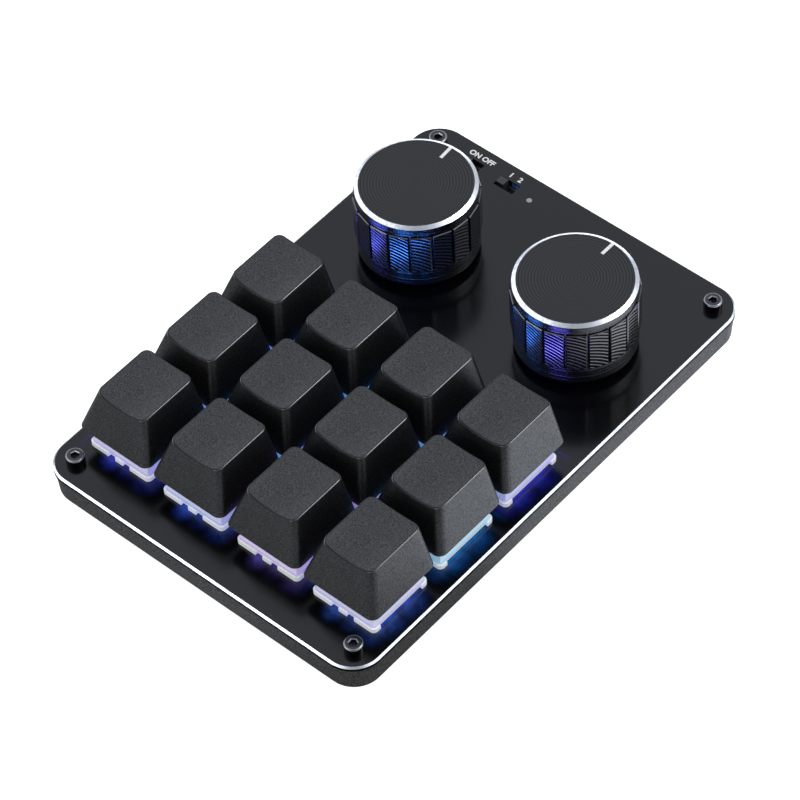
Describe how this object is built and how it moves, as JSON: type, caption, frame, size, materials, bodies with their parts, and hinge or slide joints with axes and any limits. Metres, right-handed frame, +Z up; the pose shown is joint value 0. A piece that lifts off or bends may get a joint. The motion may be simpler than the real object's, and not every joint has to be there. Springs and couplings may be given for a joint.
{
  "type": "macro keypad with knobs",
  "caption": "Desk macro keypad: a black plate on a shallow case carries a block of sculpted keys, push-and-turn knobs, slide switches and an indicator lamp.",
  "frame": {"origin": "on the desk, under the middle of the top plate", "axes": "+X to the user's right, +Y from the keys towards the knobs and the back wall, +Z up"},
  "size_m": [0.0812, 0.1176, 0.0311],
  "materials": {
    "plate_aluminium": "black anodised, with a bright cut edge",
    "case_plastic": "fine-textured black",
    "foot_rubber": "matt black",
    "black_steel": "black oxide",
    "plain_steel": "bright",
    "brass": "knurled",
    "board_laminate": "solder mask",
    "chip_resin": "moulded",
    "shield_can": "tinned",
    "battery_wrap": "pouch foil",
    "white_nylon": "natural",
    "wire_jacket": "satin",
    "light_resin": "clear",
    "switch_clear": "milky, lets light through",
    "contact_gold": "plated",
    "slider_plastic": "moulded",
    "knob_aluminium": "black anodised, spun top, bright bevel",
    "hub_plastic": "moulded",
    "keycap_plastic": "fine-grained black",
    "stem_plastic": "moulded"
  },
  "bodies": {
    "housing": {"bottom_case": "case_plastic", "rubber_feet": "foot_rubber", "top_plate": "plate_aluminium", "corner_screws": "black_steel", "threaded_inserts": "brass", "circuit_board": "board_laminate", "board_screws": "plain_steel", "microcontroller": "chip_resin", "radio_module": "shield_can", "battery": "battery_wrap", "battery_connector": "white_nylon", "battery_lead": "wire_jacket", "usb_socket": "shield_can", "usb_tongue": "chip_resin", "key_lights": "light_resin", "hot_swap_sockets": "chip_resin", "switch_lower_housings": "switch_clear", "switch_upper_housings": "switch_clear", "switch_contacts": "contact_gold", "switch_springs": "plain_steel", "slide_switch_bodies": "shield_can", "indicator_light_pipe": "light_resin", "indicator_chip": "light_resin", "encoder_bases": "chip_resin", "encoder_covers": "shield_can"},
    "key_1": {"keycap_1": "keycap_plastic", "key_stem_1": "stem_plastic"},
    "key_2": {"keycap_2": "keycap_plastic", "key_stem_2": "stem_plastic"},
    "key_3": {"keycap_3": "keycap_plastic", "key_stem_3": "stem_plastic"},
    "key_4": {"keycap_4": "keycap_plastic", "key_stem_4": "stem_plastic"},
    "key_5": {"keycap_5": "keycap_plastic", "key_stem_5": "stem_plastic"},
    "key_6": {"keycap_6": "keycap_plastic", "key_stem_6": "stem_plastic"},
    "key_7": {"keycap_7": "keycap_plastic", "key_stem_7": "stem_plastic"},
    "key_8": {"keycap_8": "keycap_plastic", "key_stem_8": "stem_plastic"},
    "key_9": {"keycap_9": "keycap_plastic", "key_stem_9": "stem_plastic"},
    "key_10": {"keycap_10": "keycap_plastic", "key_stem_10": "stem_plastic"},
    "key_11": {"keycap_11": "keycap_plastic", "key_stem_11": "stem_plastic"},
    "key_12": {"keycap_12": "keycap_plastic", "key_stem_12": "stem_plastic"},
    "left_dial": {"left_encoder_rotor": "white_nylon"},
    "left_knob": {"left_encoder_shaft": "plain_steel", "left_knob_shell": "knob_aluminium", "left_knob_insert": "hub_plastic"},
    "right_dial": {"right_encoder_rotor": "white_nylon"},
    "right_knob": {"right_encoder_shaft": "plain_steel", "right_knob_shell": "knob_aluminium", "right_knob_insert": "hub_plastic"},
    "power_switch": {"power_slider": "slider_plastic"},
    "mode_switch": {"mode_slider": "slider_plastic"}
  },
  "joints": [
    {"name": "key_1_press", "type": "slide", "parent": "housing", "child": "key_1", "axis": [0, 0, -1], "range_m": [0, 0.004], "stiffness_N_per_m": 75, "springref_m": -0.004, "deforming": ["switch_springs"]},
    {"name": "key_2_press", "type": "slide", "parent": "housing", "child": "key_2", "axis": [0, 0, -1], "range_m": [0, 0.004], "stiffness_N_per_m": 75, "springref_m": -0.004, "deforming": ["switch_springs"]},
    {"name": "key_3_press", "type": "slide", "parent": "housing", "child": "key_3", "axis": [0, 0, -1], "range_m": [0, 0.004], "stiffness_N_per_m": 75, "springref_m": -0.004, "deforming": ["switch_springs"]},
    {"name": "key_4_press", "type": "slide", "parent": "housing", "child": "key_4", "axis": [0, 0, -1], "range_m": [0, 0.004], "stiffness_N_per_m": 75, "springref_m": -0.004, "deforming": ["switch_springs"]},
    {"name": "key_5_press", "type": "slide", "parent": "housing", "child": "key_5", "axis": [0, 0, -1], "range_m": [0, 0.004], "stiffness_N_per_m": 75, "springref_m": -0.004, "deforming": ["switch_springs"]},
    {"name": "key_6_press", "type": "slide", "parent": "housing", "child": "key_6", "axis": [0, 0, -1], "range_m": [0, 0.004], "stiffness_N_per_m": 75, "springref_m": -0.004, "deforming": ["switch_springs"]},
    {"name": "key_7_press", "type": "slide", "parent": "housing", "child": "key_7", "axis": [0, 0, -1], "range_m": [0, 0.004], "stiffness_N_per_m": 75, "springref_m": -0.004, "deforming": ["switch_springs"]},
    {"name": "key_8_press", "type": "slide", "parent": "housing", "child": "key_8", "axis": [0, 0, -1], "range_m": [0, 0.004], "stiffness_N_per_m": 75, "springref_m": -0.004, "deforming": ["switch_springs"]},
    {"name": "key_9_press", "type": "slide", "parent": "housing", "child": "key_9", "axis": [0, 0, -1], "range_m": [0, 0.004], "stiffness_N_per_m": 75, "springref_m": -0.004, "deforming": ["switch_springs"]},
    {"name": "key_10_press", "type": "slide", "parent": "housing", "child": "key_10", "axis": [0, 0, -1], "range_m": [0, 0.004], "stiffness_N_per_m": 75, "springref_m": -0.004, "deforming": ["switch_springs"]},
    {"name": "key_11_press", "type": "slide", "parent": "housing", "child": "key_11", "axis": [0, 0, -1], "range_m": [0, 0.004], "stiffness_N_per_m": 75, "springref_m": -0.004, "deforming": ["switch_springs"]},
    {"name": "key_12_press", "type": "slide", "parent": "housing", "child": "key_12", "axis": [0, 0, -1], "range_m": [0, 0.004], "stiffness_N_per_m": 75, "springref_m": -0.004, "deforming": ["switch_springs"]},
    {"name": "left_dial_turn", "type": "hinge", "parent": "housing", "child": "left_dial", "pos_m": [-0.02017, 0.03, 0.01], "axis": [0, 0, 1], "continuous": true},
    {"name": "left_knob_press", "type": "slide", "parent": "left_dial", "child": "left_knob", "axis": [0, 0, -1], "range_m": [0, 0.0005], "stiffness_N_per_m": 2000, "springref_m": -0.001},
    {"name": "right_dial_turn", "type": "hinge", "parent": "housing", "child": "right_dial", "pos_m": [0.02017, 0.03, 0.01], "axis": [0, 0, 1], "continuous": true},
    {"name": "right_knob_press", "type": "slide", "parent": "right_dial", "child": "right_knob", "axis": [0, 0, -1], "range_m": [0, 0.0005], "stiffness_N_per_m": 2000, "springref_m": -0.001},
    {"name": "power_switch_slide", "type": "slide", "parent": "housing", "child": "power_switch", "axis": [1, 0, 0], "range_m": [0, 0.0024]},
    {"name": "mode_switch_slide", "type": "slide", "parent": "housing", "child": "mode_switch", "axis": [1, 0, 0], "range_m": [0, 0.0024]}
  ]
}
